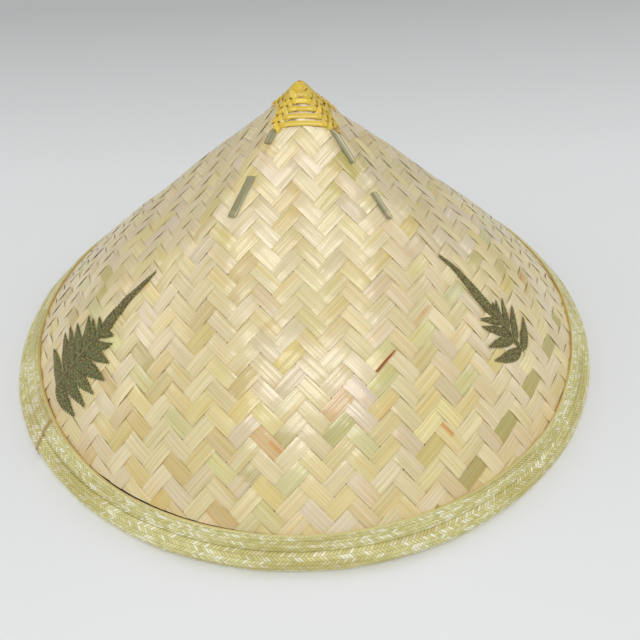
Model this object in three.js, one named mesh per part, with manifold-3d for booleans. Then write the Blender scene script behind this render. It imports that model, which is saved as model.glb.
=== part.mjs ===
// Woven bamboo hat: a wide cone of plaited bamboo splits with a bound rim and a small cap over the point.
// Millimetres, +Z up, the front towards -Y, the origin on the ground under the centre of the rim.

import * as THREE from 'three';
import { mergeVertices } from 'three/addons/utils/BufferGeometryUtils.js';
import { TessellateModifier } from 'three/addons/modifiers/TessellateModifier.js';
import Module from 'manifold-3d';

const wasm = await Module();
wasm.setup();

// Driving sizes of the crown
const CROWN_RADIUS = 195.2; // the mat's lower edge, inside the binding
const APEX_HEIGHT = 190.5; // middle of the mat at the point
const EDGE_HEIGHT = 14.3; // middle of the mat at its lower edge
const SWAY = 4; // how far the slope is hollow near the point and full near the rim
const LEAN = 3.9; // the point stands this far to the right of the rim's centre
const MAT_THICKNESS = 2;
const RIDGE_POWER = 7; // how square the top is: 2 is round
const RIDGE_START = 25; // radius where the four ridges begin to soften
const RIDGE_END = 120; // radius where the crown has become round
const GAP = 0.3; // room between pieces that touch

// Driving sizes of the rim
const RIM_RADIUS = 205;
const ROLL_RADIUS = 5.8;
const BAND_START = 189.3; // upper edge of the folded band, as a radius on the mat
const BAND_THICKNESS = 1.7;
const HOOP_START = 187.2;
const HOOP_WIDTH = 1.6;
const HOOP_THICKNESS = 0.9;

// Driving sizes of the cap over the point
const CAP_LINES = 5;
const CAP_FIRST = 5.2; // radius of the uppermost splint at the middle of a side
const CAP_PITCH = 3.1;
const CAP_ARCH = 0.11; // the splints reach this much lower at the corners
const SPLINT_HALF = 1; // half a splint's width, as a radius on the mat
const SPLINT_LOW = 1.75; // height range of a splint above the middle of the mat
const SPLINT_HIGH = 2.75;
const CORNER_LOW = 1.3;
const CORNER_HIGH = 3;
const CORNER_WIDTH = 8;
const CORNER_LENGTH = 18;

const RIM_STEPS = 64; // sides of the crown and the rim, a multiple of eight so that each ridge has a corner
const CAP_STEPS = 32;
const LEAF_THICKNESS = 0.5;
const LEAF_STEP = 12; // longest straight edge of a leaf before it is laid on the cone

const slope = (APEX_HEIGHT - EDGE_HEIGHT) / CROWN_RADIUS;
const upAxis = new THREE.Vector3(0, 0, 1);

// Height of the middle of the mat at a radius
function matHeight(radius) {
  const sway = SWAY * Math.sin((2 * Math.PI * radius) / CROWN_RADIUS);
  return APEX_HEIGHT - slope * radius - sway;
}

// Exponent of the rounded square that the crown's level sections follow
function ridgePower(radius) {
  const fade = THREE.MathUtils.smoothstep(radius, RIDGE_START, RIDGE_END);
  return THREE.MathUtils.lerp(RIDGE_POWER, 2, fade);
}

// Radius of a rounded square of size 1 in one direction
function roundedSquare(azimuth, power) {
  const sum = Math.abs(Math.cos(azimuth)) ** power + Math.abs(Math.sin(azimuth)) ** power;
  return sum ** (-1 / power);
}

// Mean radius of that rounded square, so that a level section keeps its girth
function meanRadius(power) {
  const samples = 32;
  let sum = 0;
  for (let i = 0; i < samples; i += 1) {
    sum += roundedSquare((i / samples) * (Math.PI / 2), power);
  }
  return sum / samples;
}

// Point in the middle of the mat, for a mean radius and an azimuth from the front
function matPoint(radius, azimuth) {
  const power = ridgePower(radius);
  const reach = (radius * roundedSquare(azimuth, power)) / meanRadius(power);
  const height = matHeight(radius);
  const lean = (LEAN * height) / APEX_HEIGHT;
  return new THREE.Vector3(reach * Math.sin(azimuth) + lean, -reach * Math.cos(azimuth), height);
}

function matNormal(radius, azimuth) {
  if (radius < 0.1) return upAxis.clone();
  const step = 0.01;
  const down = matPoint(radius + step, azimuth).sub(matPoint(radius - step, azimuth));
  const round = matPoint(radius, azimuth + step).sub(matPoint(radius, azimuth - step));
  return down.cross(round).normalize();
}

// Point above the mat for a place (x, y) on a flat disc and a height over the middle of the mat
function hatPoint(x, y, lift, arch = 0) {
  const azimuth = Math.atan2(x, -y);
  const radius = Math.hypot(x, y) * (1 + arch * Math.sin(2 * azimuth) ** 2);
  return matPoint(radius, azimuth).addScaledVector(matNormal(radius, azimuth), lift);
}

// Lay a body made flat, with z as its height over the mat, on the cone
function layOnHat(geometry, arch = 0) {
  const position = geometry.getAttribute('position');
  for (let i = 0; i < position.count; i += 1) {
    const point = hatPoint(position.getX(i), position.getY(i), position.getZ(i), arch);
    position.setXYZ(i, point.x, point.y, point.z);
  }
  return geometry;
}

// One closed body: shared corners merged and the empty triangles at the poles dropped
function closedBody(geometry) {
  geometry.deleteAttribute('normal');
  geometry.deleteAttribute('uv');
  const merged = mergeVertices(geometry, 1e-3);
  const index = merged.getIndex();
  const kept = [];
  for (let i = 0; i < index.count; i += 3) {
    const corners = [index.getX(i), index.getX(i + 1), index.getX(i + 2)];
    if (new Set(corners).size === 3) kept.push(...corners);
  }
  merged.setIndex(kept);
  return merged;
}

// A ring turned from a section of (radius, height) points that go round it anticlockwise
function turnedRing(section, steps) {
  const profile = [...section, section[0]].map(([radius, height]) => new THREE.Vector2(radius, height));
  return new THREE.LatheGeometry(profile, steps).rotateX(Math.PI / 2);
}

function toManifold(geometry) {
  const body = closedBody(geometry);
  const vertProperties = new Float32Array(body.getAttribute('position').array);
  const triVerts = new Uint32Array(body.getIndex().array);
  return new wasm.Manifold(new wasm.Mesh({ numProp: 3, vertProperties, triVerts }));
}

function fromManifold(solid) {
  const mesh = solid.getMesh();
  const geometry = new THREE.BufferGeometry();
  geometry.setAttribute('position', new THREE.BufferAttribute(mesh.vertProperties, mesh.numProp));
  geometry.setIndex(new THREE.BufferAttribute(mesh.triVerts, 1));
  return geometry;
}

function joined(geometries) {
  const solids = geometries.map(toManifold);
  return fromManifold(solids.reduce((sum, solid) => sum.add(solid)));
}

// The plaited cone: one wall from the point to its lower edge, open underneath
function crownGeometry() {
  const rows = 14;
  const half = MAT_THICKNESS / 2;
  const radii = Array.from({ length: rows + 1 }, (_, i) => CROWN_RADIUS * (i / rows) ** 1.4);
  const inside = radii.map((radius) => new THREE.Vector2(radius, -half));
  const outside = radii.map((radius) => new THREE.Vector2(radius, half)).reverse();
  const wall = new THREE.LatheGeometry([...inside, ...outside], RIM_STEPS).rotateX(Math.PI / 2);
  return closedBody(layOnHat(wall));
}

// Thin bamboo hoop on the mat just above the binding
function hoopGeometry() {
  const low = MAT_THICKNESS / 2 + GAP;
  const high = low + HOOP_THICKNESS;
  const outer = HOOP_START + HOOP_WIDTH;
  const section = [[HOOP_START, low], [outer, low], [outer, high], [HOOP_START, high]];
  return closedBody(layOnHat(turnedRing(section, RIM_STEPS)));
}

// Flat plaited band folded over the mat's edge, its two legs joined by a round fold
function bandGeometry() {
  const inner = MAT_THICKNESS / 2 + GAP;
  const outer = inner + BAND_THICKNESS;
  const stretch = Math.hypot(1, slope); // length down the slope for each millimetre of radius
  const fold = [-67, -33, 0, 33, 67].map((degrees) => {
    const angle = THREE.MathUtils.degToRad(degrees);
    return [CROWN_RADIUS + (outer * Math.cos(angle)) / stretch, outer * Math.sin(angle)];
  });
  const pocket = CROWN_RADIUS + GAP;
  const bevel = 0.6;
  const section = [
    [BAND_START + bevel, -outer], ...fold, [BAND_START + bevel, outer],
    [BAND_START, inner], [pocket, inner], [pocket, -inner], [BAND_START, -inner],
  ];
  return closedBody(layOnHat(turnedRing(section, RIM_STEPS)));
}

// Round plaited roll under the fold, the lowest piece: its flat underside meets the ground
function rollGeometry() {
  const sides = 12;
  const corner = ROLL_RADIUS / Math.cos(Math.PI / sides);
  const middle = RIM_RADIUS - ROLL_RADIUS;
  const section = Array.from({ length: sides }, (_, i) => {
    const angle = (2 * Math.PI * (i + 0.5)) / sides;
    return [middle + corner * Math.cos(angle), ROLL_RADIUS + corner * Math.sin(angle)];
  });
  return closedBody(turnedRing(section, RIM_STEPS));
}

// Frayed end of the binding where it overlaps itself, on the roll's outer side at the left front
function spliceGeometry() {
  const length = 9;
  const azimuth = THREE.MathUtils.degToRad(-61);
  const end = new THREE.CylinderGeometry(0.7, 2.1, length, 8).scale(0.45, 1, 1);
  end.rotateX(Math.PI / 2).rotateX(THREE.MathUtils.degToRad(100));
  end.translate(RIM_RADIUS + 1.35, 0, ROLL_RADIUS - 0.6);
  return closedBody(end.rotateZ(azimuth - Math.PI / 2));
}

// Open plaited cap over the point: level splints that wrap the four sides, and a band down each corner
function capGeometry() {
  const splints = Array.from({ length: CAP_LINES }, (_, line) => {
    const middle = CAP_FIRST + CAP_PITCH * line;
    const [inner, outer] = [middle - SPLINT_HALF, middle + SPLINT_HALF];
    const section = [[inner, SPLINT_LOW], [outer, SPLINT_LOW], [outer, SPLINT_HIGH], [inner, SPLINT_HIGH]];
    return layOnHat(turnedRing(section, CAP_STEPS), CAP_ARCH);
  });
  const corners = Array.from({ length: 4 }, (_, side) => {
    const band = new THREE.BoxGeometry(CORNER_WIDTH, CORNER_LENGTH, CORNER_HIGH - CORNER_LOW, 4, 6, 1);
    band.translate(0, -CORNER_LENGTH / 2 - 1, (CORNER_LOW + CORNER_HIGH) / 2);
    return layOnHat(band.rotateZ(Math.PI / 4 + (side * Math.PI) / 2), CAP_ARCH);
  });
  const top = [[0, CORNER_LOW], [3.6, CORNER_LOW], [3.6, CORNER_HIGH], [0, CORNER_HIGH]];
  const profile = top.map(([radius, height]) => new THREE.Vector2(radius, height));
  const knob = new THREE.LatheGeometry(profile, CAP_STEPS).rotateX(Math.PI / 2);
  return joined([...splints, ...corners, layOnHat(knob)]);
}

// Small curled end of a splint at the cap's front right corner
function loopGeometry() {
  const [ring, wire] = [1.4, 0.5];
  const place = hatPoint(19.1, -12.3, MAT_THICKNESS / 2 + GAP + ring + wire);
  const loop = new THREE.TorusGeometry(ring, wire, 6, 12).rotateX(Math.PI / 2);
  return closedBody(loop.rotateZ(THREE.MathUtils.degToRad(25)).translate(place.x, place.y, place.z));
}

// Thin skewer from one place on the mat to another, given as radius and azimuth in degrees
function stickGeometry(start, end, width, depth) {
  const lift = MAT_THICKNESS / 2 + GAP + depth / 2;
  const [from, to] = [start, end].map(([radius, degrees]) => {
    const azimuth = THREE.MathUtils.degToRad(degrees);
    return hatPoint(radius * Math.sin(azimuth), -radius * Math.cos(azimuth), lift);
  });
  const outline = new THREE.Shape().absellipse(0, 0, depth / 2, width / 2, 0, 2 * Math.PI);
  const azimuth = THREE.MathUtils.degToRad((start[1] + end[1]) / 2);
  const normal = matNormal((start[0] + end[0]) / 2, azimuth);
  const rodOptions = { depth: from.distanceTo(to), bevelEnabled: false, curveSegments: 10 };
  const rod = new THREE.ExtrudeGeometry(outline, rodOptions);
  const along = to.clone().sub(from).normalize();
  const side = new THREE.Vector3().crossVectors(along, normal).normalize();
  const out = new THREE.Vector3().crossVectors(side, along);
  rod.applyMatrix4(new THREE.Matrix4().makeBasis(out, side, along).setPosition(from));
  return closedBody(rod);
}

// One leaflet of a frond, from its foot on the stalk to its pointed tip; bend swings its middle sideways
function leafletShape({ foot, tip, width, bend = 0 }) {
  const start = new THREE.Vector2(...foot);
  const end = new THREE.Vector2(...tip);
  const along = end.clone().sub(start);
  const side = new THREE.Vector2(-along.y, along.x).normalize();
  const at = (share, offset) => start.clone().addScaledVector(along, share).addScaledVector(side, offset);
  const [right, left] = [at(0, -width * 0.2), at(0, width * 0.2)];
  const [rightBelly, leftBelly] = [at(0.45, bend - width), at(0.45, bend + width)];
  const shape = new THREE.Shape();
  shape.moveTo(right.x, right.y);
  shape.quadraticCurveTo(rightBelly.x, rightBelly.y, end.x, end.y);
  shape.quadraticCurveTo(leftBelly.x, leftBelly.y, left.x, left.y);
  return shape;
}

// The narrow undivided end of a frond and the leaf along its stalk, with a width at each point
function bladeShape(blade) {
  const spine = blade.map(({ at }) => new THREE.Vector2(...at));
  const edges = spine.map((point, i) => {
    const ahead = spine[Math.min(i + 1, spine.length - 1)];
    const behind = spine[Math.max(i - 1, 0)];
    const along = ahead.clone().sub(behind).normalize();
    const offset = new THREE.Vector2(-along.y, along.x).multiplyScalar(blade[i].width / 2);
    return [point.clone().add(offset), point.clone().sub(offset)];
  });
  const right = edges.map((pair) => pair[0]);
  const left = edges.map((pair) => pair[1]).reverse();
  return new THREE.Shape([...right, ...left]);
}

function frondGeometry({ blade, leaflets }) {
  const shapes = [bladeShape(blade), ...leaflets.map(leafletShape)];
  const plateOptions = { depth: LEAF_THICKNESS, bevelEnabled: false, curveSegments: 3 };
  const flat = joined(shapes.map((shape) => {
    const plate = new THREE.ExtrudeGeometry(shape, plateOptions);
    return plate.translate(0, 0, MAT_THICKNESS / 2 + GAP);
  }));
  const divided = new TessellateModifier(LEAF_STEP, 10).modify(flat);
  return closedBody(layOnHat(divided));
}

// Fronds, in millimetres on the flat disc: the blade from its tip, then leaflets from tip to stalk end
const leftFrond = {
  blade: [
    { at: [-89.6, -52.3], width: 0.8 }, { at: [-102.1, -55.5], width: 3.5 },
    { at: [-111.2, -58.5], width: 6.5 }, { at: [-123.3, -65.6], width: 11 },
    { at: [-134.4, -69.6], width: 6 }, { at: [-147.1, -74.7], width: 9 },
    { at: [-159.5, -79], width: 7 },
  ],
  leaflets: [
    { foot: [-129, -69.5], tip: [-130.4, -56.7], width: 5 },
    { foot: [-133.5, -69.8], tip: [-135.7, -54.2], width: 5 },
    { foot: [-139.5, -72], tip: [-139.4, -48.7], width: 8 },
    { foot: [-144, -73.5], tip: [-148.9, -46.9], width: 8 },
    { foot: [-148, -75.5], tip: [-154.7, -45.1], width: 7 },
    { foot: [-153, -77], tip: [-159.2, -45.6], width: 8 },
    { foot: [-159, -80], tip: [-167.6, -50.5], width: 7, bend: -2 },
    { foot: [-128, -68.5], tip: [-118.6, -75.6], width: 5 },
    { foot: [-135.5, -71], tip: [-119.1, -80.3], width: 8, bend: -3 },
    { foot: [-139, -71.5], tip: [-120.7, -90.1], width: 8 },
    { foot: [-145, -75], tip: [-123.3, -98.1], width: 10 },
    { foot: [-151, -76], tip: [-130.9, -101.4], width: 9 },
    { foot: [-155.5, -77.5], tip: [-136.9, -105.1], width: 8 },
    { foot: [-159.5, -78], tip: [-143.9, -106.5], width: 9, bend: -3 },
  ],
};
const rightFrond = {
  blade: [
    { at: [77.3, -55.7], width: 0.8 }, { at: [85.5, -57.6], width: 2.4 }, { at: [94.2, -60.8], width: 4.5 },
    { at: [103.7, -67.4], width: 7 }, { at: [112.2, -73.6], width: 7.5 }, { at: [120, -78.2], width: 3 },
    { at: [127.2, -82.8], width: 3.5 }, { at: [132.7, -87.8], width: 2 },
  ],
  leaflets: [
    { foot: [117, -76.5], tip: [116, -68.3], width: 4.5 },
    { foot: [120, -78], tip: [117.9, -66], width: 4 },
    { foot: [124.5, -81], tip: [123.6, -61.6], width: 6 },
    { foot: [129, -84.5], tip: [130.5, -62.3], width: 6.5 },
    { foot: [133, -88], tip: [138, -65.1], width: 7, bend: -2.5 },
    { foot: [119.7, -78.3], tip: [105.4, -83.1], width: 5 },
    { foot: [124.4, -81.5], tip: [105.8, -87.2], width: 6.5, bend: 1.5 },
    { foot: [127.8, -84], tip: [108.7, -97], width: 7 },
    { foot: [132, -88], tip: [112.2, -102.8], width: 8, bend: 2.5 },
  ],
};

function piece(name, geometry, color, roughness) {
  const material = new THREE.MeshStandardMaterial({ color, roughness, metalness: 0 });
  const mesh = new THREE.Mesh(geometry, material);
  mesh.name = name;
  return mesh;
}

const hat = new THREE.Group();
hat.add(
  piece('woven_crown', crownGeometry(), '#dccfa4', 0.45),
  piece('rim_hoop', hoopGeometry(), '#c08a4a', 0.5),
  piece('rim_band', bandGeometry(), '#bdbb6e', 0.55),
  piece('rim_roll', rollGeometry(), '#c6c47a', 0.5),
  piece('rim_splice', spliceGeometry(), '#9a7f43', 0.7),
  piece('crown_cap', capGeometry(), '#e0bc33', 0.4),
  piece('cap_loop', loopGeometry(), '#8c7426', 0.45),
  piece('stick_left', stickGeometry([21.9, -44.5], [58.4, -39.8], 3.6, 2.2), '#86866a', 0.4),
  piece('stick_right', stickGeometry([22.9, 46], [63.8, 43.5], 3.3, 3.3), '#9a9c90', 0.3),
  piece('fern_left', frondGeometry(leftFrond), '#4a4f2c', 0.7),
  piece('fern_right', frondGeometry(rightFrond), '#4f4a2e', 0.7),
);

export default hat;
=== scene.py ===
# %% [markdown]
# # A woven bamboo hat
# This lesson dresses a plain solid model of a conical bamboo hat. The solids give the true size and place
# of every piece. Here each piece gets its real build: splits of bamboo that pass over and under each
# other, splints over the point, pressed ferns and a plaited rim.

# %% Load the solid hat
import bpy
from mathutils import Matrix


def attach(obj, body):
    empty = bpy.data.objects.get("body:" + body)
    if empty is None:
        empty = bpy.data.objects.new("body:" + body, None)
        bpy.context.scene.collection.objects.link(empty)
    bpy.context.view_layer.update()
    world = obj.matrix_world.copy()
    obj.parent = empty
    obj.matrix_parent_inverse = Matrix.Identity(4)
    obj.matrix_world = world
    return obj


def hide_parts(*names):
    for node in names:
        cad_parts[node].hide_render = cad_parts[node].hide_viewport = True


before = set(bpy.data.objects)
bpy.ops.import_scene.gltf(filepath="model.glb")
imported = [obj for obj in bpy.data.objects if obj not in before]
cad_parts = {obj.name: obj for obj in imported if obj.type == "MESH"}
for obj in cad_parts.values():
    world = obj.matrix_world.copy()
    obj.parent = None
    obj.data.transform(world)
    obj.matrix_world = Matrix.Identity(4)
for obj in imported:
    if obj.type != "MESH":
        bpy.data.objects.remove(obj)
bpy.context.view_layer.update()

import math

import bmesh
import bpy
import numpy as np
from mathutils import Matrix, Vector

MM = 0.001

# %% [markdown]
# ## The surface of the hat
# Every piece lies on one surface, so the surface comes first. It is a cone whose level sections are
# rounded squares near the point and circles further down, because the mat is folded over four ridges.
# A formula suits it better than a sculpted mesh, because every piece can then be made flat and laid on it.

# %% Heights and level sections, in millimetres
CROWN_RADIUS = 195.2
APEX_HEIGHT = 190.5
EDGE_HEIGHT = 14.3
SWAY = 4
LEAN = 3.9
RIDGE_POWER = 7
RIDGE_START = 25
RIDGE_END = 120
SLOPE = (APEX_HEIGHT - EDGE_HEIGHT) / CROWN_RADIUS


def smooth(value, low, high):
    share = np.clip((value - low) / (high - low), 0, 1)
    return share * share * (3 - 2 * share)


def mat_height(radius):
    return APEX_HEIGHT - SLOPE * radius - SWAY * np.sin(2 * np.pi * radius / CROWN_RADIUS)


def ridge_power(radius):
    return RIDGE_POWER + (2 - RIDGE_POWER) * smooth(radius, RIDGE_START, RIDGE_END)


def rounded_square(azimuth, power):
    return (np.abs(np.cos(azimuth)) ** power + np.abs(np.sin(azimuth)) ** power) ** (-1 / power)


quarter_turn = np.arange(32) / 32 * np.pi / 2
powers = np.linspace(2, RIDGE_POWER, 41)
means = [rounded_square(quarter_turn, power).mean() for power in powers]
print("height of the mat at the point and the rim:", mat_height(0), round(mat_height(CROWN_RADIUS), 1))

# %% A point on the surface, and a point at some height above it
def mat_point(radius, azimuth):
    power = ridge_power(radius)
    reach = radius * rounded_square(azimuth, power) / np.interp(power, powers, means)
    height = mat_height(radius)
    lean = LEAN * height / APEX_HEIGHT
    return np.stack([reach * np.sin(azimuth) + lean, -reach * np.cos(azimuth), height], -1)


def hat_point(radius, azimuth, lift):
    """Places in metres, for a mean radius, an azimuth from the front and a height over the mat."""
    radius = np.maximum(radius, 0.2)
    step = 0.01
    down = mat_point(radius + step, azimuth) - mat_point(radius - step, azimuth)
    round_hat = mat_point(radius, azimuth + step) - mat_point(radius, azimuth - step)
    normal = np.cross(down, round_hat)
    normal /= np.linalg.norm(normal, axis=-1, keepdims=True)
    return (mat_point(radius, azimuth) + normal * np.asarray(lift)[..., None]) * MM


print("a point over the front of the rim:", hat_point(np.array([190.0]), np.array([0.0]), np.array([1.0])))

# %% [markdown]
# ## From a flat mat to the cone
# The maker plaits the mat flat, as three quarters of a disc, and draws the cut edges together at the
# back. A place on the flat mat is a distance and an angle from its middle. Rolled up, the distance
# stays the same down the slope, and the 270 degrees of the mat become a full turn.

# %% Roll a flat place up on to the hat
MAT_TURN = 270 / 360
slices = np.radians(np.arange(91.0))


def flat_angles(power):
    """How far round the flat mat each degree of one side reaches, for one level section."""
    reach = rounded_square(slices, power)
    ray = np.stack([reach * np.sin(slices), reach * np.cos(slices), np.full(91, SLOPE * 1.1)], -1)
    ray /= np.linalg.norm(ray, axis=-1, keepdims=True)
    steps = np.linalg.norm(np.diff(ray, axis=0), axis=-1)
    turned = np.concatenate([[0], np.cumsum(steps)])
    return turned / turned[-1] * np.pi / 2 * MAT_TURN


section_powers = powers[::8]
section_angles = [flat_angles(power) for power in section_powers]


def roll_up(distance, angle):
    """Mean radius and azimuth on the hat, for a distance and an angle on the flat mat."""
    side = np.floor(angle / (np.pi / 2 * MAT_TURN))
    rest = angle - side * np.pi / 2 * MAT_TURN
    choices = np.stack([np.interp(rest, turned, slices) for turned in section_angles])
    apex = mat_point(np.array(0.0), np.array(0.0))
    radius = distance * MAT_TURN
    for _ in range(4):
        place = np.interp(ridge_power(radius), section_powers, np.arange(len(section_powers)))
        low = np.minimum(place.astype(int), len(section_powers) - 2)
        share = place - low
        inside = np.take_along_axis(choices, low[None], 0)[0] * (1 - share)
        inside = inside + np.take_along_axis(choices, low[None] + 1, 0)[0] * share
        azimuth = inside + side * np.pi / 2
        length = np.linalg.norm(mat_point(radius, azimuth) - apex, axis=-1)
        radius = radius * distance / np.maximum(length, 0.01)
    return radius, azimuth


print("radius and azimuth for 100 mm down a ridge:", roll_up(np.array([100.0]), np.radians([33.75])))

# %% [markdown]
# ## Helpers for pieces
# Each piece is a flat bmesh first. Its points are then read as one table, worked on together and
# written back, which is far quicker than moving tens of thousands of points one by one.

# %% Turn a bmesh into a finished piece
def points_of(mesh):
    table = np.empty(len(mesh.vertices) * 3, np.float32)
    mesh.vertices.foreach_get("co", table)
    return table.reshape(-1, 3).astype(float)


def mesh_from(bm, name):
    mesh = bpy.data.meshes.new(name)
    bm.to_mesh(mesh)
    bm.free()
    return mesh


def add_strip(bm, columns, rows, layer, count):
    """Add one grid with a wall to a bmesh, and give its points their number."""
    before = len(bm.verts)
    old_faces = set(bm.faces)
    bmesh.ops.create_grid(bm, x_segments=columns, y_segments=rows, size=1)
    fresh = [face for face in bm.faces if face not in old_faces]
    bmesh.ops.solidify(bm, geom=fresh, thickness=1)
    bm.verts.ensure_lookup_table()
    for vert in bm.verts[before:]:
        vert[layer] = count


def numbers_of(mesh, name):
    """The number of the split, splint or leaflet that each point belongs to."""
    numbers = np.empty(len(mesh.vertices), np.int32)
    mesh.attributes[name].data.foreach_get("value", numbers)
    return numbers


def crowd_edges(rows):
    """Push the rows of a strip's grid towards its two edges, where the strip thins out."""
    return np.sign(rows) * np.abs(rows) ** 0.6


def flat_to_polar(spot):
    """Radius and azimuth from the front, for places on a flat disc."""
    return np.hypot(spot[:, 0], spot[:, 1]), np.arctan2(spot[:, 0], -spot[:, 1])


def add_piece(mesh, places, material, nodes, sharp=40):
    """Move the points of a mesh to their places, and let the piece stand for its solids."""
    mesh.vertices.foreach_set("co", np.asarray(places, np.float32).ravel())
    mesh.update()
    mesh.shade_smooth()
    mesh.set_sharp_from_angle(angle=math.radians(sharp))
    mesh.materials.append(material)
    piece = bpy.data.objects.new(mesh.name, mesh)
    bpy.context.scene.collection.objects.link(piece)
    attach(piece, "root")
    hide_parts(*nodes)
    triangles = sum(len(face.vertices) - 2 for face in mesh.polygons)
    print(mesh.name, "has", triangles, "triangles")
    return piece


def set_map(mesh, along, across):
    """Write a UV map in millimetres, so that a pattern follows the piece."""
    corners = np.empty(len(mesh.loops), np.int32)
    mesh.loops.foreach_get("vertex_index", corners)
    table = np.stack([along[corners], across[corners]], -1)
    mesh.uv_layers.new(name="lay").data.foreach_set("uv", table.astype(np.float32).ravel())


def set_tint(mesh, colors):
    layer = mesh.color_attributes.new("tint", "FLOAT_COLOR", "POINT")
    table = np.concatenate([colors, np.ones((len(colors), 1))], 1)
    layer.data.foreach_set("color", table.astype(np.float32).ravel())


def set_value(mesh, name, values):
    mesh.attributes.new(name, "FLOAT", "POINT").data.foreach_set("value", values.astype(np.float32))


def linear(code):
    """The linear colour that a shader needs, for a colour code as in a paint chart."""
    shares = np.array([int(code[i:i + 2], 16) / 255 for i in (1, 3, 5)])
    return np.where(shares < 0.04045, shares / 12.92, ((shares + 0.055) / 1.055) ** 2.4)


def paint(code):
    """The same colour with its fourth value, as a shader's socket takes it."""
    return tuple(linear(code)) + (1,)

# %% [markdown]
# ## Finishes: split bamboo
# Bamboo shows straight fibres along each split, light and dark by turns, and a little gloss. One node
# group makes the fibres from noise that is stretched along the split's own map. Every bamboo piece
# uses the group with its own colours.

# %% Short ways to write nodes
def add_node(tree, kind, inputs=None, **settings):
    node = tree.nodes.new(kind)
    for name, value in settings.items():
        setattr(node, name, value)
    for name, value in (inputs or {}).items():
        if isinstance(value, bpy.types.NodeSocket):
            tree.links.new(value, node.inputs[name])
        else:
            node.inputs[name].default_value = value
    return node


def sum_up(tree, operation, first, second=0.0, third=None):
    inputs = {0: first, 1: second}
    if third is not None:
        inputs[2] = third
    return add_node(tree, "ShaderNodeMath", inputs, operation=operation).outputs[0]


def blend(tree, share, first, second, mode="MIX"):
    node = add_node(tree, "ShaderNodeMix", data_type="RGBA", blend_type=mode)
    for name, value in (("Factor_Float", share), ("A_Color", first), ("B_Color", second)):
        socket = next(item for item in node.inputs if item.identifier == name)
        if isinstance(value, bpy.types.NodeSocket):
            tree.links.new(value, socket)
        else:
            socket.default_value = value
    return next(item for item in node.outputs if item.identifier == "Result_Color")


def ramp(tree, value, low, high, to_low=0.0, to_high=1.0):
    inputs = {"Value": value, "From Min": low, "From Max": high, "To Min": to_low, "To Max": to_high}
    return add_node(tree, "ShaderNodeMapRange", inputs, clamp=True).outputs["Result"]


def noise(tree, vector, stretch, detail=2.0, roughness=0.5):
    scaled = add_node(tree, "ShaderNodeVectorMath", {0: vector, 1: stretch}, operation="MULTIPLY")
    inputs = {"Vector": scaled.outputs[0], "Scale": 1.0, "Detail": detail, "Roughness": roughness}
    return add_node(tree, "ShaderNodeTexNoise", inputs, noise_dimensions="2D").outputs["Fac"]


def new_group(name, inputs, outputs):
    tree = bpy.data.node_groups.new(name, "ShaderNodeTree")
    for label, kind, value in inputs:
        socket = tree.interface.new_socket(label, in_out="INPUT", socket_type="NodeSocket" + kind)
        if value is not None:
            socket.default_value = value
    for label, kind in outputs:
        tree.interface.new_socket(label, in_out="OUTPUT", socket_type="NodeSocket" + kind)
    return tree, add_node(tree, "NodeGroupInput"), add_node(tree, "NodeGroupOutput")

# %% The fibre group
fibres, given, result = new_group(
    "bamboo_fibres",
    [("Map", "Vector", None), ("Tint", "Color", (0.7, 0.6, 0.4, 1)), ("Streak", "Float", 0.0),
     ("Contrast", "Float", 1.0)],
    [("Color", "Color"), ("Roughness", "Float"), ("Height", "Float"), ("Shine", "Float")])
fine = noise(fibres, given.outputs["Map"], (0.02, 2.5, 1), detail=1.0)
lines = noise(fibres, given.outputs["Map"], (0.012, 0.9, 1), detail=2.0)
broad = noise(fibres, given.outputs["Map"], (0.012, 0.26, 1), detail=1.0)
tinge = noise(fibres, given.outputs["Map"], (0.02, 0.34, 1), detail=1.0)
patch = noise(fibres, given.outputs["Map"], (0.07, 0.1, 1), detail=2.0)
both = sum_up(fibres, "MULTIPLY_ADD", lines, 0.45, sum_up(fibres, "MULTIPLY", fine, 0.55))
shade = ramp(fibres, both, 0.35, 0.65, 0.84, 1.1)
depth = sum_up(fibres, "MULTIPLY_ADD", sum_up(fibres, "SUBTRACT", shade, 1.0), given.outputs["Contrast"], 1.0)
grey = add_node(fibres, "ShaderNodeCombineColor", {0: depth, 1: depth, 2: depth}).outputs[0]
fibred = blend(fibres, 1.0, given.outputs["Tint"], grey, "MULTIPLY")
warm = sum_up(fibres, "MULTIPLY", ramp(fibres, broad, 0.55, 0.7), 0.4)
fibred = blend(fibres, warm, fibred, blend(fibres, 1.0, fibred, (0.98, 0.82, 0.5, 1), "MULTIPLY"))
cool = sum_up(fibres, "MULTIPLY", ramp(fibres, tinge, 0.56, 0.72), 0.35)
fibred = blend(fibres, cool, fibred, blend(fibres, 1.0, fibred, (0.88, 0.92, 0.6, 1), "MULTIPLY"))
stain = noise(fibres, given.outputs["Map"], (0.05, 1.0, 1), detail=1.0)
faint = sum_up(fibres, "MULTIPLY", stain, 0.55)
stained = sum_up(fibres, "MULTIPLY_ADD", given.outputs["Streak"], 0.7, faint)
halo = sum_up(fibres, "MULTIPLY", ramp(fibres, stained, 0.48, 0.75), 0.65)
fibred = blend(fibres, halo, fibred, paint("#d8923a"))
fibred = blend(fibres, ramp(fibres, stained, 0.78, 0.92), fibred, paint("#84380c"))
gloss = ramp(fibres, patch, 0.3, 0.7, 0.28, 0.44)
shine = ramp(fibres, lines, 0.42, 0.58, 0.1, 1.0)
for name, socket in (("Color", fibred), ("Roughness", gloss), ("Height", both), ("Shine", shine)):
    fibres.links.new(socket, result.inputs[name])
print("the fibre group has", len(fibres.nodes), "nodes")

# %% Bamboo finishes from the group
def new_material(name):
    material = bpy.data.materials.new(name)
    material.use_nodes = True
    tree = material.node_tree
    return material, tree, tree.nodes["Principled BSDF"]


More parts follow.
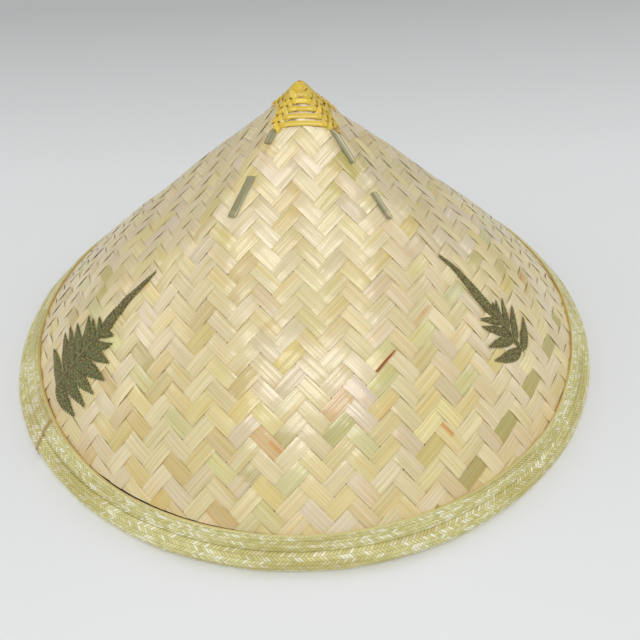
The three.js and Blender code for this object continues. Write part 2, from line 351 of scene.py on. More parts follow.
def bamboo(name, contrast, coat, bump, tint=None, polish=0.14):
    material, tree, surface = new_material(name)
    lay = add_node(tree, "ShaderNodeUVMap", uv_map="lay").outputs[0]
    inputs = {"Map": lay, "Contrast": contrast}
    if tint is None:
        inputs["Tint"] = add_node(tree, "ShaderNodeAttribute", attribute_name="tint").outputs["Color"]
        inputs["Streak"] = add_node(tree, "ShaderNodeAttribute", attribute_name="streak").outputs["Fac"]
    else:
        inputs["Tint"] = paint(tint)
    group = tree.nodes.new("ShaderNodeGroup")
    group.node_tree = fibres
    for label, value in inputs.items():
        if isinstance(value, bpy.types.NodeSocket):
            tree.links.new(value, group.inputs[label])
        else:
            group.inputs[label].default_value = value
    raised = add_node(tree, "ShaderNodeBump", {"Height": group.outputs["Height"], "Distance": bump * MM})
    tree.links.new(group.outputs["Color"], surface.inputs["Base Color"])
    tree.links.new(group.outputs["Roughness"], surface.inputs["Roughness"])
    tree.links.new(raised.outputs["Normal"], surface.inputs["Normal"])
    wax = sum_up(tree, "MULTIPLY", group.outputs["Shine"], coat)
    tree.links.new(wax, surface.inputs["Coat Weight"])
    surface.inputs["Coat Roughness"].default_value = polish
    surface.inputs["Coat IOR"].default_value = 1.65
    return material


scraped_bamboo = bamboo("scraped_bamboo", 1.0, 0.75, 0.07)
yellow_bamboo = bamboo("yellow_bamboo", 0.7, 0.5, 0.05)
skewer_bamboo = bamboo("skewer_bamboo", 1.0, 0.9, 0.03, polish=0.12)
print("finishes so far:", [material.name for material in bpy.data.materials if material.node_tree])

# %% [markdown]
# ## The woven mat
# Flat splits 9 mm wide run in three sets, and each set crosses two of the three quarters of the flat
# mat. A split goes over two, then under two, and each neighbour starts one split later, which is a
# twill: the floats line up in zigzag columns that run down the hat. Each split is a grid with a wall.

# %% Sizes of the mat
PITCH = 9.45
SPLITS = 27
SPLIT_SHARE = 0.975
SPLIT_THICKNESS = 0.36
EDGE_DROP = 0.1
SWING = 0.33
ARCH = 0.22
STEPS_A_CELL = 4
MAT_REACH = 260.5
GATHER = 3.4
MAT_TWIST = 0.009
CHANCE_COLUMNS = 128
CHANCE_MIDDLE = 64


def goes_over(quarter, split, cell):
    """Whether a split lies on top in one cell, counted along it from the foot of its middle."""
    if quarter == 0:
        return (cell - split) % 4 < 2
    if quarter == 1:
        return (cell + split - 1) % 4 < 2
    return np.where(cell < 0, (split - cell) % 4 < 2, (cell + split) % 4 < 2)


def swing(quarter, split, along):
    """Height of a split over the middle of the mat, from -1 to 1, and how far it is from a dip."""
    cell = np.floor(along / PITCH).astype(int)
    part = along / PITCH - cell
    here = goes_over(quarter, split, cell)
    rise = np.where(goes_over(quarter, split, cell - 1) != here, smooth(part, 0, 0.42), 1)
    fall = np.where(goes_over(quarter, split, cell + 1) != here, smooth(1 - part, 0, 0.42), 1)
    first = np.where(goes_over(quarter, split, cell - 1) == here, cell - 1, cell)
    return np.where(here, 1, -1) * rise * fall, rise * fall, cell, first


print("cells along the longest split:", round(2 * MAT_REACH / PITCH))

# %% [markdown]
# No two splits have quite the same colour. Most are pale cream, some lean to pink or green, and a few
# are olive, tan or stained. The ordinary ones are drawn at random from a fixed seed, and a short chart
# names the odd ones that stand out.

# %% Colours of the splits
split_tints = {
    "cream": "#ebdbab", "straw": "#e2ce8e", "pink": "#e7d3a6", "green": "#d9d293",
    "tan": "#d8be7c", "olive": "#c6b769", "leaf": "#a9a350", "orange": "#dcac62",
}
tint_shares = {"cream": 0.38, "straw": 0.26, "pink": 0.25, "green": 0.06, "tan": 0.05}
# Each row: set of splits, split, first and last cell, tint and how much of it.
odd_splits = [
    (1, 24, -16, 5, "leaf", 0.7), (1, 22, 1, 2, "olive", 0.8), (0, 19, 3, 5, "leaf", 0.4),
    (0, 19, -4, -2, "olive", 0.8), (0, 18, -7, -5, "olive", 0.8), (0, 19, -1, 1, "olive", 0.5),
    (0, 1, 4, 6, "olive", 0.9), (2, 0, -6, -4, "tan", 0.8), (1, 4, -8, -5, "tan", 0.9),
    (0, 4, -1, 1, "tan", 0.8), (1, 6, -5, -3, "olive", 0.6), (2, 3, -8, -6, "tan", 0.8),
    (0, 12, 9, 11, "tan", 0.7), (1, 10, -17, -15, "tan", 0.9), (1, 15, -15, -13, "orange", 0.6),
    (1, 16, -16, -14, "leaf", 0.4), (1, 15, -9, -7, "green", 0.8), (1, 17, -9, -7, "olive", 0.4),
    (1, 18, 2, 4, "olive", 0.7), (1, 16, 0, 2, "olive", 0.6), (1, 16, -11, -9, "green", 0.9),
    (0, 17, 12, 16, "orange", 0.5), (1, 20, 3, 6, "tan", 0.9), (1, 14, -20, -17, "leaf", 0.4),
    (0, 13, 16, 19, "green", 0.8), (1, 20, -8, -5, "green", 0.8), (1, 21, -13, -10, "olive", 0.5),
]
# Each row: set of splits, split, first and last cell, place across from -1 to 1, strength.
streaks = [
    (1, 15, -10, -9, 0.8, 1.0), (0, 17, 14, 15, -0.2, 1.0), (1, 15, -6, -5, 0.5, 0.62),
    (0, 9, 20, 21, -0.4, 0.8), (1, 20, 4, 5, -0.5, 0.9), (1, 17, -13, -11, 0.9, 0.6),
]


def split_colors(quarter, split, cell, first, side, generator):
    names = list(tint_shares)
    chosen = generator.choice(len(names), SPLITS, p=list(tint_shares.values()))
    strength = generator.uniform(0.35, 1, SPLITS)
    cream = linear(split_tints["cream"])
    base = np.stack([linear(split_tints[names[i]]) for i in chosen])
    base = cream + (base - cream) * strength[:, None]
    colors = base[split]
    lightness = generator.normal(1, 0.04, (SPLITS, CHANCE_COLUMNS))
    hue = generator.normal(0, 0.03, (SPLITS, CHANCE_COLUMNS))
    colors = colors * lightness[split, first + CHANCE_MIDDLE][:, None]
    colors[:, 2] *= 1 - 3 * hue[split, first + CHANCE_MIDDLE]
    for which, number, low, high, tint, share in odd_splits:
        chosen = (which == quarter) & (split == number) & (cell >= low) & (cell <= high)
        colors[chosen] += (linear(split_tints[tint]) - colors[chosen]) * share
    streak = np.zeros(len(split))
    for which, number, low, high, place, strength in streaks:
        chosen = (which == quarter) & (split == number) & (cell >= low) & (cell <= high)
        streak[chosen] = strength * np.exp(-((side[chosen] - place) / 0.35) ** 2)
    return colors, streak


def stain_rim(colors, radius, azimuth, generator, split, first):
    """Golden stain near the rim, stronger at the two sides and different on each float."""
    chance = generator.uniform(0, 1, (SPLITS, CHANCE_COLUMNS))[split, first + CHANCE_MIDDLE]
    share = smooth(radius, 172, 192) * (0.1 + 0.3 * np.sin(azimuth) ** 2) * (0.3 + 1.4 * chance ** 2)
    return colors + (linear("#d2a34e") - colors) * np.clip(share, 0, 0.8)[:, None]

# %% Weave one set of splits
def weave(name, quarter):
    bm = bmesh.new()
    number = bm.verts.layers.int.new("split")
    for split in range(SPLITS):
        half = math.sqrt(MAT_REACH ** 2 - ((split + 0.5) * PITCH) ** 2)
        steps = max(4, round(2 * half / PITCH * STEPS_A_CELL))
        add_strip(bm, steps, 5, number, split)
    mesh = mesh_from(bm, name)
    table = points_of(mesh)
    split = numbers_of(mesh, "split")
    generator = np.random.default_rng(40 + quarter)
    width = PITCH * (SPLIT_SHARE + generator.uniform(-0.035, 0.03, SPLITS))
    wander = generator.uniform(0, 6.28, SPLITS)
    side = crowd_edges(table[:, 1])
    across = side * width[split] / 2
    drift = 0.25 * np.sin(table[:, 0] * 5 + wander[split])
    distance = (split + 0.5) * PITCH + across + drift
    along = table[:, 0] * np.sqrt(MAT_REACH ** 2 - distance ** 2)
    level, hold, cell, first = swing(quarter, split, along)
    raised = generator.normal(0, 0.05, (SPLITS, CHANCE_COLUMNS))[split, first + CHANCE_MIDDLE]
    tilt = generator.normal(0, 0.1, (SPLITS, CHANCE_COLUMNS))[split, first + CHANCE_MIDDLE]
    body = (table[:, 2] + 0.5) * (SPLIT_THICKNESS - 2 * EDGE_DROP * side ** 4)
    part = (along / PITCH - first) / 2
    arch = np.clip(level, 0, 1) * ARCH * (1 - (2 * part - 1) ** 2)
    lift = SWING * level + hold * (raised + tilt * side) + arch + body
    angle = math.radians(90 * quarter - 45) + np.arctan2(along, distance) - MAT_TWIST
    length = np.hypot(along, distance)
    radius, azimuth = roll_up(length - GATHER * smooth(length, 0, 40), angle)
    set_map(mesh, along + 611.0 * split + 97.0 * quarter, across + 20.0 * split)
    colors, streak = split_colors(quarter, split, cell, first, side, generator)
    colors = stain_rim(colors, radius, azimuth, generator, split, first)
    set_tint(mesh, np.clip(colors, 0, 1))
    set_value(mesh, "streak", streak)
    return add_piece(mesh, hat_point(radius, azimuth, lift), scraped_bamboo, ["woven_crown"])


weave("weave_falling", 0)
weave("weave_rising", 1)
weave("weave_back", 2)

# %% [markdown]
# ## The cap over the point
# Each of the four sides carries six or seven yellow splints. A splint runs level over its side, passes
# the ridge and then heads down the next side, because a straight strip stays straight on the unrolled
# cone. There the two sides' splints cross. At three ridges they cross one over one, and at the front
# right one the side splints pass over two at a time.

# %% Sizes of the cap
CAP_COUNTS = (6, 7, 6, 6)
CAP_PITCHES = (4.3, 4.45, 4.3, 3.95)
CAP_FIRST = 1.5
CAP_BOWS = (0.05, 0.12, 0.05, 0.12)
SPLINT_WIDTH = 2.75
SPLINT_THICKNESS = 0.7
SPLINT_LOW = 0.95
SPLINT_HIGH = 1.85
SPLINT_FLAT = 1.2
NEAREST_CROSSING = 0.8
FIRST_WIDER = (1.42, 1.32, 1)
TIP_LIFT = 0.7
side_turn = math.radians(90 * MAT_TURN)


def cap_distance(side, line):
    return CAP_FIRST + CAP_PITCHES[side] * line


def crossing(distance, other):
    """How far along its own line a splint meets one of the next side, from their two distances."""
    return (other - distance * math.cos(side_turn)) / math.sin(side_turn)


def splint_end(side, line, way):
    """Places along a splint from its middle to one end, and its heights there."""
    neighbour = (side + way) % 4
    upright = side % 2 == 1
    passed = 2 if {side, neighbour} == {0, 1} else 1
    wanted = range(line - passed, line + 2) if upright else range(line - 1, line + passed + 1)
    crossings = {other: crossing(cap_distance(side, line), cap_distance(neighbour, other))
                 for other in wanted if 0 <= other < CAP_COUNTS[neighbour]}
    met = [other for other, middle in crossings.items() if middle > NEAREST_CROSSING]
    places, levels = [0.0], [SPLINT_LOW]
    for other in met:
        upright_on_top = 0 <= (line - other if upright else other - line) < passed
        level = SPLINT_HIGH if upright_on_top == upright else SPLINT_LOW
        middle = crossings[other]
        places += [max(middle - SPLINT_FLAT, places[-1] + 0.4), max(middle + SPLINT_FLAT, places[-1] + 0.8)]
        levels += [level, level]
    if places[1] < 2:
        levels[0] = levels[1]
    if upright and met[-1] == wanted[-1]:
        places[-1] -= 1.5
    tail = 1.1 if met[-1] < wanted[-1] else (0.2 if upright else 0.9)
    return places + [places[-1] + tail], levels + [SPLINT_LOW]


print("the lowest front splint:", [round(float(place), 1) for place in splint_end(0, 5, 1)[0]])

# %% Plait the cap
cap_plan = [(side, line) for side in range(4) for line in range(CAP_COUNTS[side])]
bm = bmesh.new()
number = bm.verts.layers.int.new("splint")
for splint in range(len(cap_plan)):
    add_strip(bm, 80, 4, number, splint)
cap_mesh = mesh_from(bm, "cap_splints")
table = points_of(cap_mesh)
splint = numbers_of(cap_mesh, "splint")
generator = np.random.default_rng(7)
side_number, line_number = np.array(cap_plan)[splint].T
along, heights = np.zeros(len(table)), np.zeros(len(table))
for one, (cap_side, cap_line) in enumerate(cap_plan):
    for way in (-1, 1):
        places, levels = splint_end(cap_side, cap_line, way)
        chosen = (splint == one) & (table[:, 0] * way >= 0)
        along[chosen] = table[chosen, 0] * places[-1]
        heights[chosen] = np.interp(np.abs(along[chosen]), places, levels)
side = crowd_edges(table[:, 1])
width = SPLINT_WIDTH * generator.uniform(0.93, 1.07, len(cap_plan))[splint]
across = side * width / 2 * np.interp(line_number, (0, 1, 2), FIRST_WIDER)
distance = CAP_FIRST + np.array(CAP_PITCHES)[side_number] * line_number + across
angle = side_number * side_turn + np.arctan2(along, distance)
length = np.hypot(along, distance)
off_middle = np.minimum(np.abs(np.arctan2(along, distance)) / (side_turn / 2), 1.3)
bow = 1.05 + np.array(CAP_BOWS)[side_number] * (off_middle ** 2 - 1)
radius, azimuth = roll_up(length * bow, angle)
lift = heights + (table[:, 2] + 0.5) * (SPLINT_THICKNESS - 0.25 * side ** 6) - 0.05 * side ** 2
lift = lift + TIP_LIFT * (1 - smooth(length, 2, 13))
set_map(cap_mesh, along + 50.0 * splint, across)
yellow = linear("#ebca40") * generator.uniform(0.86, 1.06, (len(cap_plan), 1))[splint]
yellow[:, 2] *= generator.uniform(0.5, 1.9, len(cap_plan))[splint]
set_tint(cap_mesh, np.clip(yellow, 0, 1))
set_value(cap_mesh, "streak", np.zeros(len(table)))
add_piece(cap_mesh, hat_point(radius, azimuth, lift), yellow_bamboo, ["crown_cap"])

# %% [markdown]
# ## The curled end at the cap's corner
# At the front right corner the end of one splint is rolled into a small ring. A short profile spun most of
# the way round gives a strip that curls into an open ring.

# %% Curl the splint end
CURL_RADIUS = 1.15
CURL_WIDTH = 1.8
CURL_THICKNESS = 0.55
bm = bmesh.new()
corners = [(CURL_RADIUS, -CURL_WIDTH / 2), (CURL_RADIUS + CURL_THICKNESS, -CURL_WIDTH / 2),
           (CURL_RADIUS + CURL_THICKNESS, CURL_WIDTH / 2), (CURL_RADIUS, CURL_WIDTH / 2)]
end_face = bm.faces.new([bm.verts.new((x, 0, z)) for x, z in corners])
bmesh.ops.spin(bm, geom=[end_face], cent=(0, 0, 0), axis=(0, 0, 1), angle=math.radians(330), steps=28)
bmesh.ops.recalc_face_normals(bm, faces=bm.faces)
curl_mesh = mesh_from(bm, "cap_curl")
table = points_of(curl_mesh)
place = hat_point(22.3, math.radians(50.5), 2.3) / MM
turned = np.array(Matrix.Rotation(math.radians(55), 3, "X") @ Matrix.Rotation(math.radians(100), 3, "Z"))
set_map(curl_mesh, np.arctan2(table[:, 1], table[:, 0]) * CURL_RADIUS, table[:, 2])
set_tint(curl_mesh, np.tile(linear("#a58a34"), (len(table), 1)))
set_value(curl_mesh, "streak", np.full(len(table), 0.5))
add_piece(curl_mesh, (table @ turned.T + place) * MM, yellow_bamboo, ["cap_loop"])

# %% [markdown]
# ## The two skewers
# Two thin sticks of bamboo start under the cap and run down the front. Their middle is pushed under
# the mat, so that only two lengths of each show. Each is a cylinder, cut into rings and bent, with a
# pale line painted along it where a real one catches the light.

# %% Push the skewers through the mat
SKEWERS = [
    {"name": "skewer_left", "node": "stick_left", "from": (17.5, -44.5), "to": (58.4, -39.8), "width": 3.6,
     "flare": 0.3, "depth": 1.2, "hidden": (0.21, 0.545), "tint": "#9c9468", "gleam": 0.3},
    {"name": "skewer_right", "node": "stick_right", "from": (20.4, 46.2), "to": (63.8, 43.5), "width": 2.9,
     "flare": 0.1, "depth": 2.2, "hidden": (0.375, 0.705), "tint": "#a09a76", "gleam": 1.6},
]
SKEWER_RINGS = 96
SKEWER_DIP = 3.6
SKEWER_LIFT = 0.7


def skewer(plan):
    bm = bmesh.new()
    bmesh.ops.create_cone(bm, cap_ends=True, segments=14, radius1=1, radius2=1, depth=1)
    rims = [face for face in bm.faces if len(face.verts) > 4]
    bmesh.ops.inset_region(bm, faces=rims, thickness=0.18, depth=0.02)
    sides = [edge for edge in bm.edges if abs(edge.verts[0].co.z - edge.verts[1].co.z) > 0.8]
    bmesh.ops.subdivide_edges(bm, edges=sides, cuts=SKEWER_RINGS)
    bmesh.ops.recalc_face_normals(bm, faces=bm.faces)
    mesh = mesh_from(bm, plan["name"])
    table = points_of(mesh)
    share = table[:, 2] + 0.5
    ends = [np.array([r * math.sin(math.radians(a)), -r * math.cos(math.radians(a))])
            for r, a in (plan["from"], plan["to"])]
    way = ends[1] - ends[0]
    aside = np.array([-way[1], way[0]]) / np.linalg.norm(way)
    middle = ends[0] + share[:, None] * way
    width = plan["width"] * (1 + plan["flare"] * (share - 0.5))
    spot = middle + aside * (table[:, 0] * width / 2)[:, None]
    start, stop = plan["hidden"]
    dip = smooth(share, start - 0.012, start + 0.015) * (1 - smooth(share, stop - 0.015, stop + 0.012))
    dip = dip + 0.5 * (1 - smooth(share, 0.0, 0.09))
    lift = SKEWER_LIFT + plan["depth"] / 2 * (1 + table[:, 1]) - SKEWER_DIP * dip
    set_map(mesh, share * np.linalg.norm(way) * 1.35, np.arctan2(table[:, 1], table[:, 0]) * 1.6)
    tints = linear(plan["tint"]) * (0.85 + 0.25 * np.exp(-((share - 0.97) / 0.02) ** 2))[:, None]
    ridge = np.exp(-(((np.arctan2(table[:, 1], table[:, 0]) - 1.5) / 0.24) ** 2))
    set_tint(mesh, np.clip(tints * (1 + plan["gleam"] * ridge)[:, None], 0, 1))
    set_value(mesh, "streak", np.zeros(len(table)))
    radius, azimuth = flat_to_polar(spot)
    return add_piece(mesh, hat_point(radius, azimuth, lift), skewer_bamboo, [plan["node"]])


for plan in SKEWERS:
    skewer(plan)

# %% [markdown]
# ## Pressed ferns
# A dried frond lies on each side of the front. The leaf has toothed leaflets in pairs along a stalk
# and ends in one narrow blade. Each leaflet is a grid: its long edges are pulled in to a leaf shape,
# every other edge point makes a tooth, and the middle line stands a little proud as the rib.

# %% The leaf finish
leaf, tree, surface = new_material("dried_leaf")
lay = add_node(tree, "ShaderNodeUVMap", uv_map="lay").outputs[0]
tint = add_node(tree, "ShaderNodeAttribute", attribute_name="tint").outputs["Color"]
stalk = add_node(tree, "ShaderNodeAttribute", attribute_name="stalk").outputs["Fac"]
mottle = noise(tree, lay, (0.28, 0.28, 1), detail=4.0, roughness=0.7)
speckle = noise(tree, lay, (1.0, 1.0, 1), detail=2.0, roughness=0.6)
final = blend(tree, ramp(tree, mottle, 0.46, 0.57), tint, paint("#604d20"))
final = blend(tree, ramp(tree, speckle, 0.53, 0.66, 0.0, 0.8), final, paint("#a4a056"))
final = blend(tree, ramp(tree, speckle, 0.46, 0.36, 0.0, 0.9), final, paint("#2b2c10"))
split_map = add_node(tree, "ShaderNodeSeparateXYZ", {0: lay})
half = sum_up(tree, "ABSOLUTE", split_map.outputs[1])
rib = sum_up(tree, "MULTIPLY", ramp(tree, half, 0.1, 0.25, 1.0, 0.0), 0.18)
slanted = sum_up(tree, "MULTIPLY_ADD", half, -1.3, split_map.outputs[0])
veins = sum_up(tree, "PINGPONG", slanted, 0.75)
vein = sum_up(tree, "MULTIPLY", ramp(tree, veins, 0.08, 0.25, 1.0, 0.0), 0.15)
pale = sum_up(tree, "MAXIMUM", sum_up(tree, "MAXIMUM", rib, vein), sum_up(tree, "MULTIPLY", stalk, 0.45))
final = blend(tree, pale, final, paint("#aca283"))
tree.links.new(final, surface.inputs["Base Color"])
surface.inputs["Roughness"].default_value = 0.6
wrinkle = add_node(tree, "ShaderNodeBump", {"Height": speckle, "Distance": 0.3 * MM, "Strength": 0.7})
tree.links.new(wrinkle.outputs["Normal"], surface.inputs["Normal"])

# %% The plan of each frond, in millimetres on a flat disc
left_frond = {
    "foot": 0.4, "slim": 0.68,
    "stalk": [(-131, -69.8), (-144, -73.3), (-153, -77.2), (-160, -80)],
    "blade": [(-89.6, -52.3, 0.8), (-102.1, -55.5, 3.2), (-111.2, -58.5, 5.6), (-123.3, -65.6, 9.4),
              (-134.4, -69.6, 6), (-147.1, -74.7, 9), (-159.5, -79, 7)],
    "leaflets": [
        {"foot": (-129, -69.5), "tip": (-130.4, -56.7), "width": 5},
        {"foot": (-133.5, -69.8), "tip": (-135.7, -54.2), "width": 5},
        {"foot": (-139.5, -72), "tip": (-139.4, -48.7), "width": 8},
        {"foot": (-144, -73.5), "tip": (-148.9, -46.9), "width": 8},
        {"foot": (-148, -75.5), "tip": (-154.7, -45.1), "width": 7},
        {"foot": (-153, -77), "tip": (-159.2, -45.6), "width": 8},
        {"foot": (-159, -80), "tip": (-167.6, -50.5), "width": 7, "bend": -2},
        {"foot": (-128, -68.5), "tip": (-118.6, -75.6), "width": 5},
        {"foot": (-135.5, -71), "tip": (-119.1, -80.3), "width": 8, "bend": -3},
        {"foot": (-139, -71.5), "tip": (-120.7, -90.1), "width": 8},
        {"foot": (-145, -75), "tip": (-123.3, -98.1), "width": 10},
        {"foot": (-151, -76), "tip": (-130.9, -101.4), "width": 9},
        {"foot": (-155.5, -77.5), "tip": (-136.9, -105.1), "width": 8},
        {"foot": (-159.5, -78), "tip": (-143.9, -106.5), "width": 9, "bend": -3},
    ],
}
right_frond = {
    "foot": 0.2, "slim": 0.7,
    "stalk": [(112, -73.6), (120, -78.2), (127.2, -82.8), (132.7, -87.8), (134, -89)],
    "blade": [(77.3, -55.7, 0.8), (85.5, -57.6, 2.4), (94.2, -60.8, 4.5), (103.7, -67.4, 7),
              (112.2, -73.6, 7.5), (120, -78.2, 3), (127.2, -82.8, 3.5), (132.7, -87.8, 2)],
    "leaflets": [
        {"foot": (117, -76.5), "tip": (116, -68.3), "width": 4.5},
        {"foot": (120, -78), "tip": (117.9, -66), "width": 4},
        {"foot": (124.5, -81), "tip": (123.6, -61.6), "width": 6},
        {"foot": (129, -84.5), "tip": (130.5, -62.3), "width": 6.5},
        {"foot": (133, -88), "tip": (138, -65.1), "width": 7, "bend": -2.5},
        {"foot": (119.7, -78.3), "tip": (105.4, -83.1), "width": 5},
        {"foot": (124.4, -81.5), "tip": (105.8, -87.2), "width": 6.5, "bend": 1.5},
        {"foot": (127.8, -84), "tip": (108.7, -97), "width": 7},
        {"foot": (132, -88), "tip": (112.2, -102.8), "width": 8, "bend": 2.5},
    ],
}
print("leaflets:", len(left_frond["leaflets"]), "and", len(right_frond["leaflets"]))

# %% Shape the leaflets and the blade
LEAF_SEGMENTS = 28
BLADE_SEGMENTS = 84
LEAF_LOW = 0.9
LEAF_THICKNESS = 0.3
TOOTH = 0.8
TOOTH_OUT = 0.6
TOOTH_IN = 0.25
STALK_WIDTH = 0.7
RIB_HEIGHT = 0.25
DRIED = (0.8, 0.8, 0.55)


def leaflet_lines(plan, frond_plan):
    """Spine and half width of one leaflet, at each of its grid's columns."""
    share = np.linspace(0, 1, LEAF_SEGMENTS + 1)
    foot, tip = np.array(plan["foot"], float), np.array(plan["tip"], float)
    way = tip - foot
    aside = np.array([-way[1], way[0]]) / np.linalg.norm(way)
    sweep = 2 * share * (1 - share)
    spine = foot + share[:, None] * way + aside * (sweep * plan.get("bend", 0))[:, None]
    shape = np.sin(np.pi * share ** 0.78) * (1 - 0.2 * share) + frond_plan["foot"] * (1 - share) ** 4
    return spine, plan["width"] / 2 * frond_plan["slim"] * shape


def blade_lines(blade):
    rows = np.array(blade, float)[::-1]
    walked = np.concatenate([[0], np.cumsum(np.hypot(*np.diff(rows[:, :2], axis=0).T))])
    at = np.linspace(0, walked[-1], BLADE_SEGMENTS + 1)
    spine = np.stack([np.interp(at, walked, rows[:, 0]), np.interp(at, walked, rows[:, 1])], -1)
    return spine, np.interp(at, walked, rows[:, 2]) / 2


def stalk_lines(points):
    rows = np.array(points, float)
    share = np.linspace(0, len(rows) - 1, LEAF_SEGMENTS + 1)
    spine = np.stack([np.interp(share, np.arange(len(rows)), rows[:, axis]) for axis in (0, 1)], -1)
    return spine, np.full(LEAF_SEGMENTS + 1, STALK_WIDTH / 2)


def frond(name, node, plan, tints):
    lines = [blade_lines(plan["blade"])] + [leaflet_lines(one, plan) for one in plan["leaflets"]]
    lines.append(stalk_lines(plan["stalk"]))
    bm = bmesh.new()
    number = bm.verts.layers.int.new("leaflet")
    for one, (spine, _) in enumerate(lines):
        add_strip(bm, len(spine) - 1, 4, number, one)
    mesh = mesh_from(bm, name)
    table = points_of(mesh)
    leaflet = numbers_of(mesh, "leaflet")
    generator = np.random.default_rng(3)
    spot, along, across = np.zeros((len(table), 2)), np.zeros(len(table)), np.zeros(len(table))
    for one, (spine, half) in enumerate(lines):
        chosen = leaflet == one
        column = np.rint((table[chosen, 0] + 1) / 2 * (len(spine) - 1)).astype(int)
        way = np.gradient(spine, axis=0)
        way /= np.linalg.norm(way, axis=1, keepdims=True)
        aside = np.stack([-way[:, 1], way[:, 0]], -1)
        edge = (np.abs(table[chosen, 1]) > 0.9) & (one < len(lines) - 1)
        tooth = np.where(edge, np.where(column % 2 == 0, TOOTH_OUT, -TOOTH_IN), 0)
        tooth = np.maximum(tooth, -0.4 * half[column]) * np.sign(table[chosen, 1])
        reach = half[column] * table[chosen, 1] + tooth
        lag = np.where(edge & (column % 2 == 0), TOOTH, 0)
        spot[chosen] = spine[column] + aside[column] * reach[:, None] + way[column] * lag[:, None]
        step = np.linalg.norm(np.diff(spine, axis=0), axis=1).mean()
        along[chosen] = column * step + 40 * one
        across[chosen] = reach
    rib = RIB_HEIGHT * np.maximum(0, 1 - np.abs(across) / 0.5)
    stalk = leaflet == len(lines) - 1
    lie = np.where(stalk, 0.5, 0.16 * (leaflet % 3) + 0.1 * np.sin(along * 0.5))
    lift = LEAF_LOW + lie + (table[:, 2] + 1) * LEAF_THICKNESS + rib
    set_map(mesh, along, across)
    colors = np.stack([linear(code) for code in tints])[generator.integers(0, len(tints), len(lines))]
    colors = colors * DRIED
    set_tint(mesh, colors[leaflet])
    set_value(mesh, "stalk", stalk)
    radius, azimuth = flat_to_polar(spot)
    return add_piece(mesh, hat_point(radius, azimuth, lift), leaf, [node])


frond("frond_left", "fern_left", left_frond, ["#66723a", "#5b6936", "#707742", "#6a663c"])
frond("frond_right", "fern_right", right_frond, ["#6f6a3a", "#6b5f34", "#777343"])

# %% [markdown]
# ## The plaited rim
# The rim is bound with a plait of thin straw: a flat band folded over the mat's edge, and a round roll
# below it. The straws make a herringbone, in which each row slants against the next. A section is spun
# into a fine ring, and its points are then raised straw by straw.

# %% Relief and finish of the plait
STRAWS_ROUND = 560
ROW_WIDTH = 2.5
STRAW_SLANT = 1.1


def straw_height(turn, row):
    """Height of the plait from 0 to 1, for a place counted in straws round the rim and in rows."""
    line = np.floor(row)
    inside = row - line
    lean = np.where(line % 2 == 0, 1, -1) * STRAW_SLANT * (inside - 0.5)
    part = (turn + lean + line * 0.5) % 1
    return (1 - np.abs(2 * part - 1) ** 3) * (1 - 0.8 * np.abs(2 * inside - 1) ** 3)


plait, given, result = new_group(
    "straw_plait", [("Map", "Vector", None)],
    [("Height", "Float"), ("Straw", "Float"), ("Row", "Float")])
place = add_node(plait, "ShaderNodeSeparateXYZ", {0: given.outputs["Map"]})
line = sum_up(plait, "FLOOR", place.outputs[1])
inside = sum_up(plait, "SUBTRACT", place.outputs[1], line)
odd = sum_up(plait, "MODULO", sum_up(plait, "ADD", line, 100.0), 2.0)
facing = sum_up(plait, "MULTIPLY_ADD", odd, -2.0 * STRAW_SLANT, STRAW_SLANT)
lean = sum_up(plait, "MULTIPLY", facing, sum_up(plait, "SUBTRACT", inside, 0.5))
counted = sum_up(plait, "MULTIPLY_ADD", line, 0.5, sum_up(plait, "ADD", place.outputs[0], lean))
straw = sum_up(plait, "FLOOR", counted)
part = sum_up(plait, "SUBTRACT", counted, straw)
away = sum_up(plait, "POWER", sum_up(plait, "ABSOLUTE", sum_up(plait, "MULTIPLY_ADD", part, 2.0, -1.0)), 3.0)
from_line = sum_up(plait, "ABSOLUTE", sum_up(plait, "MULTIPLY_ADD", inside, 2.0, -1.0))
edge = sum_up(plait, "POWER", from_line, 3.0)
bulge = sum_up(plait, "MULTIPLY", sum_up(plait, "SUBTRACT", 1.0, away),
               sum_up(plait, "MULTIPLY_ADD", edge, -0.8, 1.0))
code = add_node(plait, "ShaderNodeCombineXYZ", {0: straw, 1: line}).outputs[0]
chance = add_node(plait, "ShaderNodeTexWhiteNoise", {"Vector": code}, noise_dimensions="2D").outputs["Value"]
for name, socket in (("Height", bulge), ("Straw", chance), ("Row", inside)):
    plait.links.new(socket, result.inputs[name])

straw, tree, surface = new_material("plaited_straw")
lay = add_node(tree, "ShaderNodeUVMap", uv_map="lay").outputs[0]
group = tree.nodes.new("ShaderNodeGroup")
group.node_tree = plait
tree.links.new(lay, group.inputs["Map"])
chance, height = group.outputs["Straw"], group.outputs["Height"]
stain = add_node(tree, "ShaderNodeAttribute", attribute_name="stain").outputs["Fac"]
plain = blend(tree, chance, paint("#d6ce82"), paint("#f8f0b0"))
plain = blend(tree, ramp(tree, chance, 0.7, 0.85, 0.0, 0.85), plain, paint("#fffbdc"))
blot = noise(tree, lay, (0.03, 0.25, 1), detail=2.0)
plain = blend(tree, ramp(tree, blot, 0.5, 0.66, 0.0, 0.6), plain, paint("#c3b257"))
plain = blend(tree, stain, plain, paint("#b08a34"))
dark = ramp(tree, height, 0.0, 0.6, 0.58, 1.0)
shadow = add_node(tree, "ShaderNodeCombineColor", {0: dark, 1: dark, 2: dark}).outputs[0]
tree.links.new(blend(tree, 1.0, plain, shadow, "MULTIPLY"), surface.inputs["Base Color"])
tree.links.new(ramp(tree, chance, 0.2, 0.9, 0.5, 0.22), surface.inputs["Roughness"])
raised = add_node(tree, "ShaderNodeBump", {"Height": height, "Distance": 0.35 * MM})
tree.links.new(raised.outputs["Normal"], surface.inputs["Normal"])
surface.inputs["Coat Weight"].default_value = 0.18
surface.inputs["Coat Roughness"].default_value = 0.2
print("straws in one row round the rim:", STRAWS_ROUND)

# %% Spin a section into a ring
RING_SECTORS = 40
SEAM = math.radians(-58)


